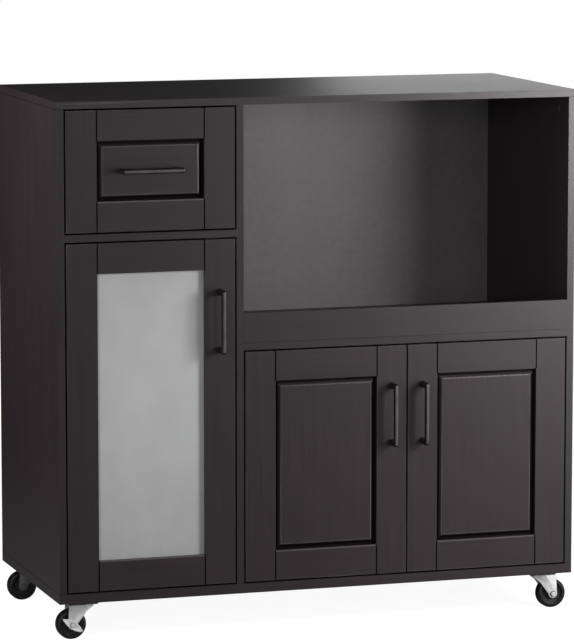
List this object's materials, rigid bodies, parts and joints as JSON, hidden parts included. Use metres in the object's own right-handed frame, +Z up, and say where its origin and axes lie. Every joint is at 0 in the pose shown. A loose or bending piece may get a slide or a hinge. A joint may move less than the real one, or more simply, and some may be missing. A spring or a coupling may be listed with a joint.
{
  "type": "microwave stand with drawer",
  "caption": "Dark wooden kitchen cabinet on castors with an open niche for an oven, a drawer, a frosted glass door and a pair of panelled doors.",
  "frame": {"origin": "bottom centre of the bounding box, on the floor under the castors", "axes": "+Z up, +Y to the back, +X to the right seen from the front"},
  "size_m": [0.9, 0.427, 0.89],
  "materials": {
    "espresso": "satin, dark stain with fine grain",
    "back_board": "thin hardboard, dark face",
    "frosted_glass": "frosted",
    "handle_metal": "satin",
    "zinc": "bright zinc plate",
    "catch_plastic": "matt",
    "runner_paint": "epoxy coat",
    "roller_nylon": "moulded nylon",
    "wheel_rubber": "smooth"
  },
  "bodies": {
    "cabinet": {"top_board": "espresso", "bottom_board": "espresso", "side_panel_left": "espresso", "side_panel_right": "espresso", "divider_panel": "espresso", "drawer_shelf": "espresso", "niche_shelf": "espresso", "niche_lip_rail": "espresso", "back_panel_left": "back_board", "back_panel_right": "back_board", "shelf_left": "espresso", "shelf_right": "espresso", "shelf_pins": "zinc", "cam_fittings": "zinc", "magnetic_catches": "catch_plastic", "cabinet_runner_left": "runner_paint", "cabinet_runner_right": "runner_paint", "hinge_arms_glass_door": "zinc", "hinge_arms_left_door": "zinc", "hinge_arms_right_door": "zinc", "castor_plates": "zinc"},
    "drawer": {"drawer_front_frame": "espresso", "drawer_front_panel": "espresso", "drawer_side_left": "espresso", "drawer_side_right": "espresso", "drawer_back": "espresso", "drawer_bottom": "back_board", "drawer_runner_left": "runner_paint", "drawer_runner_right": "runner_paint", "drawer_handle": "handle_metal"},
    "glass_door": {"glass_door_frame": "espresso", "glass_pane": "frosted_glass", "glass_beads": "espresso", "glass_door_handle": "handle_metal", "glass_door_fittings": "zinc"},
    "left_door": {"left_door_frame": "espresso", "left_door_panel": "espresso", "left_door_handle": "handle_metal", "left_door_fittings": "zinc"},
    "right_door": {"right_door_frame": "espresso", "right_door_panel": "espresso", "right_door_handle": "handle_metal", "right_door_fittings": "zinc"},
    "cabinet_roller_left": {"cabinet_roller_left": "roller_nylon"},
    "drawer_roller_left": {"drawer_roller_left": "roller_nylon"},
    "cabinet_roller_right": {"cabinet_roller_right": "roller_nylon"},
    "drawer_roller_right": {"drawer_roller_right": "roller_nylon"},
    "castor_fork_front_left": {"castor_fork_front_left": "zinc"},
    "castor_wheel_front_left": {"castor_wheel_front_left": "wheel_rubber"},
    "castor_fork_front_right": {"castor_fork_front_right": "zinc"},
    "castor_wheel_front_right": {"castor_wheel_front_right": "wheel_rubber"},
    "castor_fork_rear_left": {"castor_fork_rear_left": "zinc"},
    "castor_wheel_rear_left": {"castor_wheel_rear_left": "wheel_rubber"},
    "castor_fork_rear_right": {"castor_fork_rear_right": "zinc"},
    "castor_wheel_rear_right": {"castor_wheel_rear_right": "wheel_rubber"},
    "brake_lever_front_left": {"brake_lever_front_left": "zinc"},
    "brake_lever_rear_right": {"brake_lever_rear_right": "zinc"}
  },
  "joints": [
    {"name": "drawer_slide", "type": "slide", "parent": "cabinet", "child": "drawer", "axis": [0, -1, 0], "range_m": [0, 0.26]},
    {"name": "glass_door_hinge", "type": "hinge", "parent": "cabinet", "child": "glass_door", "pos_m": [-0.424, -0.179, 0.37], "axis": [0, 0, -1], "range_deg": [0, 95]},
    {"name": "left_door_hinge", "type": "hinge", "parent": "cabinet", "child": "left_door", "pos_m": [-0.12, -0.179, 0.276], "axis": [0, 0, -1], "range_deg": [0, 95]},
    {"name": "right_door_hinge", "type": "hinge", "parent": "cabinet", "child": "right_door", "pos_m": [0.424, -0.179, 0.276], "axis": [0, 0, 1], "range_deg": [0, 95]},
    {"name": "cabinet_roller_left_spin", "type": "hinge", "parent": "cabinet", "child": "cabinet_roller_left", "pos_m": [-0.433, -0.1485, 0.7115], "axis": [1, 0, 0], "continuous": true},
    {"name": "drawer_roller_left_spin", "type": "hinge", "parent": "drawer", "child": "drawer_roller_left", "pos_m": [-0.4317, 0.1415, 0.7115], "axis": [1, 0, 0], "continuous": true},
    {"name": "cabinet_roller_right_spin", "type": "hinge", "parent": "cabinet", "child": "cabinet_roller_right", "pos_m": [-0.151, -0.1485, 0.7115], "axis": [1, 0, 0], "continuous": true},
    {"name": "drawer_roller_right_spin", "type": "hinge", "parent": "drawer", "child": "drawer_roller_right", "pos_m": [-0.1523, 0.1415, 0.7115], "axis": [1, 0, 0], "continuous": true},
    {"name": "castor_front_left_swivel", "type": "hinge", "parent": "cabinet", "child": "castor_fork_front_left", "pos_m": [-0.404, -0.1545, 0.054], "axis": [0, 0, 1], "continuous": true},
    {"name": "castor_front_left_roll", "type": "hinge", "parent": "castor_fork_front_left", "child": "castor_wheel_front_left", "pos_m": [-0.424, -0.1545, 0.025], "axis": [0, 1, 0], "continuous": true},
    {"name": "castor_front_right_swivel", "type": "hinge", "parent": "cabinet", "child": "castor_fork_front_right", "pos_m": [0.404, -0.1545, 0.054], "axis": [0, 0, 1], "continuous": true},
    {"name": "castor_front_right_roll", "type": "hinge", "parent": "castor_fork_front_right", "child": "castor_wheel_front_right", "pos_m": [0.424, -0.1545, 0.025], "axis": [0, 1, 0], "continuous": true},
    {"name": "castor_rear_left_swivel", "type": "hinge", "parent": "cabinet", "child": "castor_fork_rear_left", "pos_m": [-0.404, 0.1815, 0.054], "axis": [0, 0, 1], "continuous": true},
    {"name": "castor_rear_left_roll", "type": "hinge", "parent": "castor_fork_rear_left", "child": "castor_wheel_rear_left", "pos_m": [-0.424, 0.1815, 0.025], "axis": [0, 1, 0], "continuous": true},
    {"name": "castor_rear_right_swivel", "type": "hinge", "parent": "cabinet", "child": "castor_fork_rear_right", "pos_m": [0.404, 0.1815, 0.054], "axis": [0, 0, 1], "continuous": true},
    {"name": "castor_rear_right_roll", "type": "hinge", "parent": "castor_fork_rear_right", "child": "castor_wheel_rear_right", "pos_m": [0.424, 0.1815, 0.025], "axis": [0, 1, 0], "continuous": true},
    {"name": "brake_front_left_lever", "type": "hinge", "parent": "castor_fork_front_left", "child": "brake_lever_front_left", "pos_m": [-0.424, -0.1695, 0.025], "axis": [0, -1, 0], "range_deg": [0, 25]},
    {"name": "brake_rear_right_lever", "type": "hinge", "parent": "castor_fork_rear_right", "child": "brake_lever_rear_right", "pos_m": [0.424, 0.1965, 0.025], "axis": [0, 1, 0], "range_deg": [0, 25]}
  ]
}
